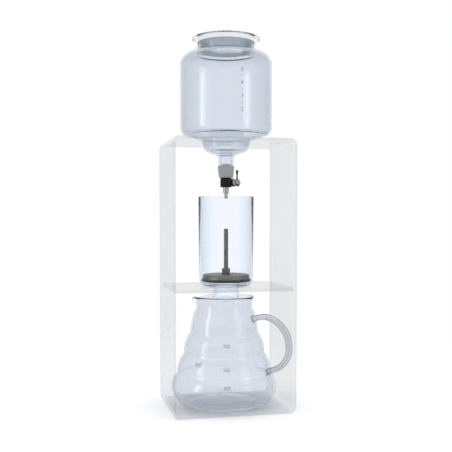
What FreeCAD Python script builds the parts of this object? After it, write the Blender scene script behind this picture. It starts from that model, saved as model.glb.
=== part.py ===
import FreeCAD, Part
import Sketcher
import math
import os

# Driving dimensions in millimetres, and counts of holes and flutes.
# Heights are above the table. The tower's axis is X 0, Y 0; the front is -Y.
driving = {
    # stand of bent acrylic sheet
    "stand_width": 176, "stand_depth": 121, "stand_height": 385, "sheet": 5, "bend": 5,
    "shelf_top": 177.5, "top_hole_r": 35, "shelf_hole_r": 24,
    # reservoir, a jar with a bulb and a stem below
    "jar_r": 65.5, "jar_wall": 2.2, "jar_seat_gap": 0.15, "jar_foot_rise": 7, "jar_foot_r": 55.5,
    "jar_side_low": 403, "jar_side_high": 494, "jar_corner_bulge": 3,
    "shoulder_r": 57.5, "shoulder_height": 505.6, "neck_r": 41, "neck_low": 511.5, "neck_top": 523.5,
    "hole_play": 1.8, "bulb_height": 376, "bulb_low_r": 26.6, "bulb_low": 368.6,
    "stem_root_r": 15, "stem_root": 365, "stem_r": 10.8, "stem_start": 360, "stem_end": 341,
    # lid, a cup that hangs in the neck
    "lid_r": 48.35, "lid_height": 6.4, "lid_gap": 0.1, "lid_play": 0.7, "lid_plug": 13.5, "lid_draft": 1.6,
    "lid_wall": 2.4, "lid_lip": 5,
    # silicone stopper on the stem's end
    "stopper_top": 349, "stopper_r": 12.05, "stopper_low": 332.1, "stopper_low_r": 10.5, "stopper_edge": 1.5,
    "stopper_dome": 3, "stopper_fit": 0.05,
    # drip valve
    "tube_r": 3, "tube_bore_r": 1.6, "tube_fit": 0.05, "tube_socket": 2.6,
    "valve_height": 325.3, "valve_r": 8.3, "valve_up": 6.7, "valve_down": 6.7, "valve_edge": 1.2,
    "plug_r": 3.4, "plug_fit": 0.05, "plug_reach": 5, "plug_port_r": 1.2, "shaft_r": 2.3, "shaft_end": 18.6,
    "ring_section": 1, "washer_length": 1.2, "boss_r": 4.7, "boss_end": 10.8,
    "nut_r": 6, "nut_start": 8.7, "nut_end": 12.9, "nut_fit": 0.05, "nut_flutes": 18, "flute_r": 0.45,
    "hub_r": 5, "hub_start": 13.2, "hub_end": 19.6, "hub_edge": 1.1, "lever_top": 343.4,
    "lever_waist_r": 1.05, "lever_top_r": 1.9, "lever_root_r": 1.5, "lever_root": 3, "screw_r": 2.2, "screw_head": 1.2,
    "nozzle_r": 4.2, "nozzle_low": 310, "nozzle_stub": 2, "drip_r": 2.5, "drip_bore_r": 1.3, "drip_low": 300,
    "bead_r": 2.9, "bead_length": 3.4,
    # coffee chamber
    "chamber_r": 39.9, "chamber_low_r": 38.7, "chamber_wall": 2.2, "chamber_top": 305.4, "chamber_gap": 0.1,
    "chamber_corner": 8.5, "outlet_r": 18.8, "outlet_low": 155.5, "outlet_bend": 2.2,
    # strainer that stands in the chamber
    "strainer_play": 0.5, "strainer_lift": 3.4, "gasket_height": 3.6, "gasket_width": 2.2, "rim_width": 4,
    "mesh_wall": 0.8, "mesh_height": 10, "hole_r": 1.5, "hole_ring_gap": 5, "hole_first_ring": 10,
    "holes_first_ring": 8, "hole_rings": 5, "holes_more": 4, "rod_r": 3.1, "rod_top": 257.5,
    "thread_r": 2, "thread_play": 0.05, "foot_nut_flats": 10.6, "foot_nut_height": 8.5,
    "foot_cup": 1, "lock_nut_flats": 7, "lock_nut_height": 3,
    # server, a jug with three creases
    "server_shift": -3, "side_gap": 7, "server_wall": 2.4, "server_gap": 0.1, "rim_r": 43, "rim_top": 161.5,
    "throat_r": 40.5, "throat": 147, "crease_one_step": 27, "crease_one": 110, "crease_two_step": 17.7,
    "crease_two": 80, "crease_three_step": 8, "crease_three": 52, "belly": 33,
    "foot_corner_step": 6, "foot_corner": 16, "foot_step": 22, "punt_r": 40, "punt_rise": 3.5,
    "beak_out": 31, "beak_r": 20.5, "beak_low_r": 13.5, "beak_drop": 15,
    # glass loop on the server
    "grip_step": 23.4, "grip_side_gap": 2.2, "grip_height": 93, "grip_top_end": 130.5, "grip_low_end": 56.5,
    "grip_top_reach": 64, "grip_top": 134.6, "grip_low_reach": 74, "grip_low": 59.4,
    "grip_thick_r": 5, "grip_thin_r": 3.6, "grip_root_top": 4.6, "grip_root_low": 0.5,
}

doc = FreeCAD.newDocument("ColdDripTower")
sheet = doc.addObject("Spreadsheet::Sheet", "Sizes")
for row, (alias, number) in enumerate(driving.items(), start=1):
    sheet.set("A%d" % row, alias)
    sheet.set("B%d" % row, str(number))
    sheet.setAlias("B%d" % row, alias)
doc.recompute()


class Size:
    # A number together with the expression on the sheet that gives it.
    def __init__(self, number, text):
        self.number = float(number)
        self.text = text

    def joined(self, sign, other, number):
        return Size(number, "(%s %s %s)" % (self.text, sign, other.text))

    def __add__(self, other):
        other = sized(other)
        return self.joined("+", other, self.number + other.number)

    def __sub__(self, other):
        other = sized(other)
        return self.joined("-", other, self.number - other.number)

    def __mul__(self, other):
        other = sized(other)
        return self.joined("*", other, self.number * other.number)

    def __truediv__(self, other):
        other = sized(other)
        return self.joined("/", other, self.number / other.number)

    def __radd__(self, other):
        return sized(other) + self

    def __rsub__(self, other):
        return sized(other) - self

    def __rmul__(self, other):
        return sized(other) * self

    def __neg__(self):
        return 0 - self


def arc_cosine(ratio):
    return Size(math.degrees(math.acos(ratio.number)), "(acos(%s) / 1 deg)" % ratio.text)


def sized(value):
    if isinstance(value, Size):
        return value
    return Size(value, "(%.9g)" % value)


def cell(alias):
    return Size(getattr(sheet, alias), "Sizes." + alias)


class Sizes:
    pass


size = Sizes()
for alias in driving:
    setattr(size, alias, cell(alias))


class Outline:
    # Corners in a sketch plane, joined by lines or by arcs through a point.
    def __init__(self, across, up):
        self.corners = [(sized(across), sized(up))]
        self.vias = []

    def line(self, across, up):
        self.vias.append(None)
        self.corners.append((sized(across), sized(up)))
        return self

    def arc(self, via_across, via_up, across, up):
        self.vias.append((sized(via_across), sized(via_up)))
        self.corners.append((sized(across), sized(up)))
        return self

    def close(self, via_across, via_up):
        # The last edge is an arc back to the first corner.
        self.vias.append((sized(via_across), sized(via_up)))
        self.corners.append(self.corners[0])
        return self

    def back(self):
        turned_round = Outline(*self.corners[-1])
        turned_round.corners = self.corners[::-1]
        turned_round.vias = self.vias[::-1]
        return turned_round

    def then(self, other):
        # Goes on with a line to the other outline's first corner, and along it.
        self.vias = self.vias + [None] + other.vias
        self.corners = self.corners + other.corners
        return self

    def normals(self, edge):
        # Unit vectors to the right of travel at an edge's start, arc point and end.
        start = point(self.corners[edge])
        end = point(self.corners[edge + 1])
        if self.vias[edge] is None:
            along = end - start
            across = FreeCAD.Vector(along.y, -along.x, 0).normalize()
            return across, across, across
        via = point(self.vias[edge])
        centre = Part.Circle(start, via, end).Center
        side = 1 if (via - start).cross(end - via).z < 0 else -1
        return tuple((centre - spot).normalize() * side for spot in (start, via, end))

    def inside(self, wall):
        # The same run moved by one wall to the right of travel.
        sides = [self.normals(edge) for edge in range(len(self.vias))]
        moved = Outline(0, 0)
        moved.corners = []
        for number, corner in enumerate(self.corners):
            before = sides[max(number - 1, 0)][2 if number else 0]
            after = sides[min(number, len(sides) - 1)][0 if number < len(sides) else 2]
            shift = (before + after) / (1 + before.dot(after))
            moved.corners.append((corner[0] + wall * shift.x, corner[1] + wall * shift.y))
        for side, via in zip(sides, self.vias):
            moved.vias.append(via and (via[0] + wall * side[1].x, via[1] + wall * side[1].y))
        return moved


def point(pair):
    return FreeCAD.Vector(pair[0].number, pair[1].number, 0)


def bind(target, name, value):
    # Sets a property to a size, and ties it to the sheet.
    target.setExpression(name, sized(value).text)


def hold(sketch, geometry, end, pair):
    for kind, value in (("DistanceX", pair[0]), ("DistanceY", pair[1])):
        index = sketch.addConstraint(Sketcher.Constraint(kind, -1, 1, geometry, end, value.number))
        bind(sketch, "Constraints[%d]" % index, value)


def draw(sketch, outline, closed=True):
    # In a closed outline a line joins the last corner to the first, unless they are the same corner.
    corners = list(outline.corners)
    vias = list(outline.vias)
    if closed and corners[-1] is not corners[0]:
        corners.append(corners[0])
        vias.append(None)
    joints = []
    for start, via, end in zip(corners, vias, corners[1:]):
        first = point(start)
        last = point(end)
        if via is None:
            index = sketch.addGeometry(Part.LineSegment(first, last), False)
            joints.append((index, 1, 2))
            continue
        middle = point(via)
        centre = Part.Circle(first, middle, last).Center
        leftward = (middle - first).cross(last - middle).z > 0
        low, high = (first, last) if leftward else (last, first)
        low_angle = math.atan2(low.y - centre.y, low.x - centre.x)
        high_angle = math.atan2(high.y - centre.y, high.x - centre.x)
        circle = Part.Circle(centre, FreeCAD.Vector(0, 0, 1), (first - centre).Length)
        index = sketch.addGeometry(Part.ArcOfCircle(circle, low_angle, high_angle), False)
        joints.append((index, 1, 2) if leftward else (index, 2, 1))
        spot = sketch.addGeometry(Part.Point(middle), True)
        hold(sketch, spot, 1, via)
        sketch.addConstraint(Sketcher.Constraint("PointOnObject", spot, 1, index))
    for corner, joint in zip(corners, joints):
        hold(sketch, joint[0], joint[1], corner)
    if not closed:
        hold(sketch, joints[-1][0], joints[-1][2], corners[-1])
    meetings = list(zip(joints, joints[1:])) + ([(joints[-1], joints[0])] if closed else [])
    for joint, following in meetings:
        ends = (joint[0], joint[2], following[0], following[1])
        sketch.addConstraint(Sketcher.Constraint("Coincident", *ends))


def ring(sketch, radius, across=0, up=0):
    radius = sized(radius)
    centre = (sized(across), sized(up))
    circle = Part.Circle(point(centre), FreeCAD.Vector(0, 0, 1), radius.number)
    index = sketch.addGeometry(circle, False)
    hold(sketch, index, 3, centre)
    limit = sketch.addConstraint(Sketcher.Constraint("Radius", index, radius.number))
    bind(sketch, "Constraints[%d]" % limit, radius)


pieces = []


def new_body(label, across=0, up=0):
    body = doc.addObject("PartDesign::Body", label)
    body.Label = label
    bind(body, "Placement.Base.x", across)
    bind(body, "Placement.Base.z", up)
    pieces.append(body)
    return body


def new_sketch(body, name, plane="XZ_Plane", shift=(0, 0, 0)):
    sketch = body.newObject("Sketcher::SketchObject", name)
    role = [feature for feature in body.Origin.OriginFeatures if feature.Role == plane][0]
    sketch.AttachmentSupport = [(role, "")]
    sketch.MapMode = "FlatFace"
    for axis, value in zip("xyz", shift):
        bind(sketch, "AttachmentOffset.Base." + axis, value)
    return sketch


def revolve(body, name, outline, axis="V_Axis", kind="Revolution", shift=(0, 0, 0)):
    sketch = new_sketch(body, name + "_profile", shift=shift)
    draw(sketch, outline)
    feature = body.newObject("PartDesign::" + kind, name)
    feature.Profile = sketch
    feature.ReferenceAxis = (sketch, [axis])
    feature.Angle = 360
    doc.recompute()
    return feature


def turned(label, outline, axis="V_Axis", across=0, up=0):
    body = new_body(label, across, up)
    revolve(body, label + "_turned", outline, axis)
    return body


def extrude(body, name, sketch, length, kind="Pad", both_ways=False):
    feature = body.newObject("PartDesign::" + kind, name)
    feature.Profile = sketch
    bind(feature, "Length", length)
    feature.SideType = "Symmetric" if both_ways else "One side"
    doc.recompute()
    return feature


def tube(inner, outer, low, high):
    return Outline(inner, low).line(outer, low).line(outer, high).line(inner, high)


def make_stand():
    half = size.stand_width / 2
    cut = 1 - math.sqrt(0.5)

    def loop(inset, radius):
        right = half - inset
        left = -right
        low = inset
        high = size.stand_height - inset
        near = radius * cut
        path = Outline(left + radius, low).line(right - radius, low)
        path.arc(right - near, low + near, right, low + radius).line(right, high - radius)
        path.arc(right - near, high - near, right - radius, high).line(left + radius, high)
        path.arc(left + near, high - near, left, high - radius).line(left, low + radius)
        return path.close(left + near, low + near)

    body = new_body("frame_loop")
    sketch = new_sketch(body, "loop_section")
    draw(sketch, loop(sized(0), size.bend + size.sheet))
    draw(sketch, loop(size.sheet, size.bend))
    extrude(body, "loop_depth", sketch, size.stand_depth, both_ways=True)
    hole = new_sketch(body, "top_hole", "XY_Plane", (0, 0, size.stand_height))
    ring(hole, size.top_hole_r)
    extrude(body, "top_hole_cut", hole, size.sheet * 1.5, "Pocket")

    shelf = new_body("middle_shelf", 0, size.shelf_top - size.sheet)
    sketch = new_sketch(shelf, "shelf_outline", "XY_Plane")
    edge = half - size.sheet
    deep = size.stand_depth / 2
    draw(sketch, Outline(-edge, -deep).line(edge, -deep).line(edge, deep).line(-edge, deep))
    ring(sketch, size.shelf_hole_r)
    extrude(shelf, "shelf_sheet", sketch, size.sheet)


def make_reservoir():
    # The foot of the jar is a cone that rests on the edge of the stand's top hole.
    collar_r = size.top_hole_r - size.hole_play
    seat = size.stand_height + size.jar_seat_gap
    slope = size.jar_foot_rise / (size.jar_foot_r - size.top_hole_r)
    foot = seat + size.jar_foot_rise
    corner = (size.jar_r - size.jar_foot_r) * 0.7
    outer = Outline(size.neck_r, size.neck_top).line(size.neck_r, size.neck_low)
    outer.arc(size.neck_r + 0.5, size.neck_low - 1.5, size.neck_r + 2, size.neck_low - 2.3)
    outer.arc(size.shoulder_r, size.shoulder_height, size.jar_r, size.jar_side_high)
    outer.line(size.jar_r, size.jar_side_low)
    outer.arc(size.jar_foot_r + corner, foot + size.jar_corner_bulge, size.jar_foot_r, foot)
    outer.line(collar_r + 0.4, seat - slope * (size.hole_play - 0.4))
    outer.line(collar_r, size.bulb_height + 3)
    outer.arc(collar_r - 1.4, size.bulb_height - 3.2, size.bulb_low_r, size.bulb_low)
    outer.line(size.stem_root_r, size.stem_root)
    outer.arc(size.stem_r + 1.1, size.stem_start + 3, size.stem_r, size.stem_start)
    outer.line(size.stem_r, size.stem_end)
    turned("reservoir_glass", outer.then(outer.inside(size.jar_wall).back()))


def make_lid():
    bore = size.neck_r - size.jar_wall
    low = size.neck_top + size.lid_gap
    high = low + size.lid_height
    plug = bore - size.lid_play
    tip = plug - size.lid_draft
    inner = tip - size.lid_wall
    base = low - size.lid_plug
    path = Outline(0, base).line(tip - 1, base).arc(tip - 0.3, base + 0.3, tip, base + 1)
    path.line(plug, low).line(size.neck_r + 0.6, low).line(size.lid_r - 0.3, high - 2.2)
    path.arc(size.lid_r, high - 1.2, size.lid_r - 0.9, high)
    path.line(size.lid_r - size.lid_lip, high)
    path.arc(size.lid_r - size.lid_lip - 3, high - 0.9, inner + 1.5, high - 3.5)
    path.line(inner, base + size.lid_wall + 1).arc(inner - 0.4, base + size.lid_wall + 0.4,
                                                   inner - 1.4, base + size.lid_wall)
    turned("lid", path.line(0, base + size.lid_wall))


def make_stopper():
    # A skirt outside the stem, a plug inside it and a bore for the inlet tube.
    fit = size.stopper_fit
    low = size.stopper_low
    bore = size.tube_r + size.tube_fit
    groove_out = size.stem_r + fit
    groove_in = size.stem_r - size.jar_wall - fit
    dome = size.stopper_top + size.stopper_dome
    path = Outline(bore, low).line(size.stopper_low_r - size.stopper_edge, low)
    path.arc(size.stopper_low_r - size.stopper_edge * 0.3, low + size.stopper_edge * 0.3,
             size.stopper_low_r, low + size.stopper_edge)
    path.line(size.stopper_r, size.stopper_top).line(groove_out, size.stopper_top)
    path.line(groove_out, size.stem_end - fit).line(groove_in, size.stem_end - fit)
    path.line(groove_in, size.stopper_top)
    path.arc((groove_in + bore) / 2 + 0.6, dome - 0.8, bore, dome)
    turned("stem_stopper", path)
    foot = size.valve_height + size.valve_up - size.tube_socket
    turned("inlet_tube", tube(size.tube_bore_r, size.tube_r, foot + size.tube_fit, dome))


def make_valve():
    # Turned upright, then bored along X for the plug.
    up = size.valve_up
    down = -size.valve_down
    wide = size.valve_r
    edge = size.valve_edge
    socket = size.tube_r + size.tube_fit
    nozzle = size.nozzle_r - 1
    path = Outline(size.tube_bore_r, down + size.nozzle_stub)
    path.line(nozzle, down + size.nozzle_stub).line(nozzle, down).line(wide - edge, down)
    path.line(wide, down + edge).line(wide, up - edge).line(wide - edge, up).line(socket, up)
    path.line(socket, up - size.tube_socket).line(size.tube_bore_r, up - size.tube_socket)
    body = turned("valve_body", path, up=size.valve_height)
    bore = size.plug_r + size.plug_fit
    boss = Outline(wide - 2, 0).line(size.boss_end, 0).line(size.boss_end, size.boss_r - 0.4)
    boss.line(size.boss_end - 0.4, size.boss_r).line(wide - 2, size.boss_r)
    revolve(body, "boss", boss, "H_Axis")
    hollow = Outline(-size.plug_reach - size.plug_fit, 0).line(size.boss_end + 1, 0)
    hollow.line(size.boss_end + 1, bore).line(-size.plug_reach - size.plug_fit, bore)
    revolve(body, "plug_bore", hollow, "H_Axis", "Groove")

    # The plug's shaft carries the hub; a hole through the plug lets the water by.
    reach = size.plug_reach
    path = Outline(-reach, 0).line(size.shaft_end, 0).line(size.shaft_end, size.shaft_r)
    path.line(reach, size.shaft_r).line(reach, size.plug_r).line(-reach, size.plug_r)
    plug = turned("valve_plug", path, "H_Axis", up=size.valve_height)
    port = new_sketch(plug, "port_outline", "XY_Plane")
    ring(port, size.plug_port_r)
    extrude(plug, "port", port, size.plug_r * 3, "Pocket", both_ways=True)

    # Ring and washer lie on the shaft between the plug and the nut.
    section = size.ring_section / 2
    middle = size.shaft_r + size.plug_fit + section
    start = reach + size.plug_fit + section
    path = Outline(start - section, middle).arc(start, middle + section, start + section, middle)
    turned("plug_ring", path.close(start, middle - section), "H_Axis", up=size.valve_height)
    start = start + section + size.plug_fit
    inner = size.shaft_r + size.plug_fit
    path = Outline(start, inner).line(start + size.washer_length, inner)
    path.line(start + size.washer_length, size.plug_r).line(start, size.plug_r)
    turned("packing_washer", path, "H_Axis", up=size.valve_height)

    # The nut caps the boss and its spigot presses the washer.
    cap = size.boss_end + size.nut_fit
    press = start + size.washer_length + size.plug_fit
    path = Outline(press, inner).line(size.nut_end, inner).line(size.nut_end, size.nut_r - 0.7)
    path.line(size.nut_end - 0.7, size.nut_r).line(size.nut_start + 0.4, size.nut_r)
    path.line(size.nut_start, size.nut_r - 0.4).line(size.nut_start, size.boss_r + size.nut_fit)
    path.line(cap, size.boss_r + size.nut_fit).line(cap, size.plug_r).line(press, size.plug_r)
    nut = turned("gland_nut", path, "H_Axis", up=size.valve_height)
    flute = new_sketch(nut, "flute_outline", "YZ_Plane", (0, 0, size.nut_start - 1))
    ring(flute, size.flute_r, size.nut_r, 0)
    cut = extrude(nut, "flute", flute, size.nut_end - size.nut_start + 2, "Pocket")
    cut.Reversed = True
    around(nut, "flutes", cut, "X_Axis", size.nut_flutes)


def around(body, name, feature, axis, count):
    pattern = body.newObject("PartDesign::PolarPattern", name)
    pattern.Originals = [feature]
    role = [part for part in body.Origin.OriginFeatures if part.Role == axis][0]
    pattern.Axis = (role, [""])
    pattern.Angle = 360
    bind(pattern, "Occurrences", count)
    body.Tip = pattern
    doc.recompute()
    return pattern


def make_lever():
    bore = size.shaft_r + size.plug_fit
    middle = (size.hub_start + size.hub_end) / 2
    edge = size.hub_edge
    path = Outline(size.hub_start, bore).line(size.hub_end, bore)
    path.line(size.hub_end, size.hub_r - edge)
    path.arc(size.hub_end - edge * 0.3, size.hub_r - edge * 0.3, size.hub_end - edge, size.hub_r)
    path.line(size.hub_start + edge, size.hub_r)
    path.arc(size.hub_start + edge * 0.3, size.hub_r - edge * 0.3, size.hub_start, size.hub_r - edge)
    hub = turned("lever_hub", path, "H_Axis", up=size.valve_height)
    hole = new_sketch(hub, "lever_hole", "XY_Plane", (middle, 0, size.hub_r + 1))
    ring(hole, size.lever_root_r)
    extrude(hub, "lever_socket", hole, size.hub_r - bore - 0.4 + 1, "Pocket")

    # The lever arm stands upright in the hub.
    root = size.hub_r - size.lever_root + 1
    fit = size.plug_fit
    high = size.lever_top - size.valve_height
    pin = size.lever_root_r - fit
    path = Outline(0, root).line(pin, root).line(pin, size.hub_r + 0.6)
    path.line(size.lever_waist_r, size.hub_r + 1.6).line(size.lever_waist_r, size.hub_r + 6)
    path.line(size.lever_top_r, high - 1.6)
    path.arc(size.lever_top_r - 0.4, high - 0.4, size.lever_top_r - 1.4, high).line(0, high)
    turned("lever_arm", path, across=middle, up=size.valve_height)

    path = Outline(size.shaft_end + fit, 0).line(size.hub_end + size.screw_head, 0)
    path.line(size.hub_end + size.screw_head, size.screw_r).line(size.hub_end - 0.02, size.screw_r)
    path.line(size.shaft_end + fit, size.shaft_r)
    turned("lever_screw", path, "H_Axis", up=size.valve_height)


def make_outlet():
    top = size.valve_height - size.valve_down + size.nozzle_stub
    fit = size.plug_fit
    stub = size.nozzle_r - 1 - fit
    path = Outline(size.drip_r + fit, size.nozzle_low).line(size.nozzle_r - 0.4, size.nozzle_low)
    path.line(size.nozzle_r, size.nozzle_low + 0.4).line(size.nozzle_r, top - size.nozzle_stub - fit)
    path.line(stub, top - size.nozzle_stub - fit).line(stub, top - fit)
    turned("outlet_nozzle", path.line(size.drip_r + fit, top - fit))
    low = size.drip_low
    path = Outline(size.drip_bore_r, low).line(size.bead_r - 0.9, low)
    path.arc(size.bead_r, low + size.bead_length / 2, size.drip_r, low + size.bead_length)
    turned("drip_tip", path.line(size.drip_r, top - fit).line(size.drip_bore_r, top - fit))


def make_chamber():
    foot = size.shelf_top + size.chamber_gap
    corner = size.chamber_corner
    bend = size.outlet_bend
    outer = Outline(size.chamber_r, size.chamber_top)
    outer.line(size.chamber_low_r, foot + corner)
    outer.arc(size.chamber_low_r - corner * 0.293, foot + corner * 0.293, size.chamber_low_r - corner, foot)
    outer.line(size.outlet_r + bend, foot)
    outer.arc(size.outlet_r + bend * 0.293, foot - bend * 0.293, size.outlet_r, foot - bend)
    outer.line(size.outlet_r, size.outlet_low)
    turned("chamber_glass", outer.then(outer.inside(size.chamber_wall).back()))


def make_strainer():
    # Stands on the rounded corner inside the chamber, a little clear of its wall.
    outer = size.chamber_low_r - size.chamber_wall - size.strainer_play
    floor = size.shelf_top + size.chamber_gap + size.chamber_wall
    low = floor + size.strainer_lift
    high = low + size.gasket_height
    fit = size.stopper_fit
    inner = outer - size.gasket_width
    path = Outline(inner, low).line(outer - 1.6, low).line(outer - 0.5, low + 1.6).line(outer, high - 0.6)
    turned("strainer_gasket", path.line(outer - 0.5, high).line(inner, high))
    seat = inner - fit
    path = tube(seat - size.rim_width, seat, low + 0.4, low + 1.4)
    turned("strainer_rim", path)
    base = low + 1.4 + fit
    wall = size.mesh_wall
    top = low + size.mesh_height
    hole = size.thread_r + size.thread_play
    path = Outline(seat - wall, base).line(seat, base).line(seat, top - 2)
    path.arc(seat - 0.6, top - 0.6, seat - 2, top).line(hole, top).line(hole, top - wall)
    path.line(seat - 2, top - wall).arc(seat - wall - 0.35, top - wall - 0.35, seat - wall, top - 2)
    mesh = turned("strainer_mesh", path)
    for number in range(round(size.hole_rings.number)):
        name = "holes_%d" % (number + 1)
        sketch = new_sketch(mesh, name + "_outline", "XY_Plane", (0, 0, top + 1))
        ring(sketch, size.hole_r, size.hole_first_ring + size.hole_ring_gap * number, 0)
        cut = extrude(mesh, name + "_cut", sketch, wall + 2, "Pocket")
        around(mesh, name, cut, "Z_Axis", size.holes_first_ring + size.holes_more * number)

    shoulder = top + fit + size.foot_nut_height - size.foot_cup
    thread_end = top - wall - size.lock_nut_height - 0.6
    path = Outline(0, thread_end).line(size.thread_r, thread_end)
    path.line(size.thread_r, shoulder).line(size.rod_r, shoulder)
    path.line(size.rod_r, size.rod_top - 0.8).line(size.rod_r - 0.8, size.rod_top)
    turned("strainer_rod", path.line(0, size.rod_top))
    hexagon_nut("strainer_nut", size.foot_nut_flats, size.foot_nut_height, top + fit, True)
    hexagon_nut("strainer_lock_nut", size.lock_nut_flats, size.lock_nut_height,
                top - wall - fit - size.lock_nut_height, False)


def hexagon_nut(label, flats, height, low, cupped):
    # A hexagon nut on the rod's thread; a cupped one takes the foot of the thick rod.
    body = new_body(label, up=low)
    sketch = new_sketch(body, label + "_outline", "XY_Plane")
    reach = flats / math.sqrt(3)
    path = Outline(reach, 0)
    for turn in range(60, 360, 60):
        path.line(reach * math.cos(math.radians(turn)), reach * math.sin(math.radians(turn)))
    draw(sketch, path)
    ring(sketch, size.thread_r + size.thread_play)
    extrude(body, label + "_pad", sketch, height)
    if cupped:
        cup = new_sketch(body, label + "_cup", "XY_Plane", (0, 0, height + 1))
        ring(cup, size.rod_r + size.thread_play)
        extrude(body, label + "_cup_cut", cup, 1 + size.foot_cup + size.thread_play, "Pocket")


def crease(step):
    # Radii of the server's body are steps in from its belly, which fills the stand but for a gap.
    return size.stand_width / 2 - size.sheet - size.side_gap - step


def make_server():
    foot = size.sheet + size.server_gap
    crease_one_r = crease(size.crease_one_step)
    crease_two_r = crease(size.crease_two_step)
    crease_three_r = crease(size.crease_three_step)
    foot_corner_r = crease(size.foot_corner_step)
    foot_r = crease(size.foot_step)
    outer = Outline(size.rim_r, size.rim_top)
    outer.arc(size.throat_r + 0.5, size.throat + 7, size.throat_r, size.throat)
    outer.arc(size.throat_r + 6.2, size.throat - 19, crease_one_r, size.crease_one)
    outer.arc((crease_one_r + crease_two_r) / 2 + 2.9, (size.crease_one + size.crease_two) / 2 + 0.6,
              crease_two_r, size.crease_two)
    outer.arc((crease_two_r + crease_three_r) / 2 + 2.6, (size.crease_two + size.crease_three) / 2 + 1,
              crease_three_r, size.crease_three)
    outer.arc(crease(0), size.belly, foot_corner_r, size.foot_corner)
    outer.arc(foot_corner_r - 5.5, foot + 4, foot_r, foot)
    outer.line(foot_r - 5, foot)
    outer.arc(size.punt_r + 4, foot + size.punt_rise * 0.6, size.punt_r, foot + size.punt_rise)
    outer.line(0, foot + size.punt_rise)
    inner = outer.inside(size.server_wall)
    body = new_body("server_glass", size.server_shift)
    turn_to(body)
    filled = Outline(0, size.rim_top).then(outer)
    revolve(body, "outer_form", filled)
    # The beak is half a funnel on the far side from the handle.
    wall = size.server_wall
    low = size.rim_top - size.beak_drop
    beak = Outline(0, low).line(size.beak_low_r, low)
    beak.arc(size.beak_low_r + 3.5, size.rim_top - 6, size.beak_r, size.rim_top)
    revolve(body, "beak_form", beak.line(0, size.rim_top), shift=(-size.beak_out, 0, 0))
    inner.corners[0] = (inner.corners[0][0], size.rim_top)
    revolve(body, "inner_form", Outline(0, size.rim_top).then(inner), kind="Groove")
    hollow = Outline(0, low + wall).line(size.beak_low_r - wall, low + wall)
    hollow.arc(size.beak_low_r + 3.5 - wall, size.rim_top - 6, size.beak_r - wall, size.rim_top)
    revolve(body, "beak_hollow", hollow.line(0, size.rim_top), kind="Groove", shift=(-size.beak_out, 0, 0))


def grip_reach():
    return crease(0) + size.grip_step


def turn_to(body):
    # The server is turned until its handle clears the stand's side sheet.
    room = size.stand_width / 2 - size.sheet - size.grip_side_gap - size.server_shift
    turn = -arc_cosine(room / (grip_reach() + size.grip_thick_r))
    body.Placement.Rotation = FreeCAD.Rotation(FreeCAD.Vector(0, 0, 1), turn.number)
    bind(body, "Placement.Rotation.Angle", turn)


def make_handle():
    # A glass rod swept round a loop in the server's own X-Z plane, thick in the middle.
    body = new_body("server_handle", size.server_shift)
    turn_to(body)
    root_top = size.throat_r + size.grip_root_top
    root_low = crease(size.crease_three_step) - size.grip_root_low
    reach = grip_reach()
    route = new_sketch(body, "loop_route")
    path = Outline(root_top, size.grip_top_end)
    path.arc((root_top + size.grip_top_reach) / 2, size.grip_top - 1.2, size.grip_top_reach, size.grip_top)
    path.arc(reach - 9.5, size.grip_height + 27, reach, size.grip_height)
    path.arc(reach - 7, size.grip_low + 11.5, size.grip_low_reach, size.grip_low)
    path.line(root_low, size.grip_low_end)
    draw(route, path, False)
    sections = []
    places = (("top", "YZ_Plane", root_top, size.grip_top_end, size.grip_thin_r),
              ("middle", "XY_Plane", size.grip_height, reach, size.grip_thick_r),
              ("low", "YZ_Plane", root_low, size.grip_low_end, size.grip_thin_r))
    for name, plane, shift, spot, radius in places:
        sketch = new_sketch(body, name + "_section", plane, (0, 0, shift))
        if plane == "YZ_Plane":
            ring(sketch, radius, 0, spot)
        else:
            ring(sketch, radius, spot, 0)
        sections.append(sketch)
    doc.recompute()
    pipe = body.newObject("PartDesign::AdditivePipe", "loop_rod")
    pipe.Profile = sections[0]
    pipe.Spine = (route, [])
    pipe.Transformation = "Multisection"
    pipe.Sections = [(sections[1], [""]), (sections[2], [""])]
    doc.recompute()


make_stand()
make_reservoir()
make_lid()
make_stopper()
make_valve()
make_lever()
make_outlet()
make_chamber()
make_strainer()
make_server()
make_handle()
doc.recompute()

failed = [thing.Name for thing in doc.Objects if "Invalid" in thing.State or "Error" in thing.State]
for body in pieces:
    shape = body.Shape
    if shape.isNull() or not shape.isValid() or len(shape.Solids) != 1:
        failed.append(body.Label)
if failed:
    raise SystemExit("not built: " + ", ".join(failed))
os.makedirs("parts", exist_ok=True)
for body in pieces:
    body.Shape.exportStep("parts/%s.step" % body.Label)
    print(body.Label, round(body.Shape.Volume), "mm3")
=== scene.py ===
import math
import bmesh
import bpy
from mathutils import Matrix, Vector


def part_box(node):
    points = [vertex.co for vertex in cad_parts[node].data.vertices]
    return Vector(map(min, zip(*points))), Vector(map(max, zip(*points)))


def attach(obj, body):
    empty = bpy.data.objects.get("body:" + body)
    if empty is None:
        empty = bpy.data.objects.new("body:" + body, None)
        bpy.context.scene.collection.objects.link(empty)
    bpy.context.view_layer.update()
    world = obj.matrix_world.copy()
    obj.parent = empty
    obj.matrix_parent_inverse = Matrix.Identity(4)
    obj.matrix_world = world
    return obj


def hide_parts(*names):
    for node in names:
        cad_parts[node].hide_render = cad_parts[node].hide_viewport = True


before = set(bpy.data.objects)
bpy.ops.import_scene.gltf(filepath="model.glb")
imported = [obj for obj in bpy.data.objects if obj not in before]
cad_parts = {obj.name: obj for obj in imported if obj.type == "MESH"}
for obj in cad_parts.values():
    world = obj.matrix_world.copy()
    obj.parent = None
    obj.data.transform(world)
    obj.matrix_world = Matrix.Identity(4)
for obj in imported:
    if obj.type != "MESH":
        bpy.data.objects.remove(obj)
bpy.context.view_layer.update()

mm = 0.001
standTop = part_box("frame_loop")[1][2] / mm
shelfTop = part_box("middle_shelf")[1][2] / mm
print("frame loaded")


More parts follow.
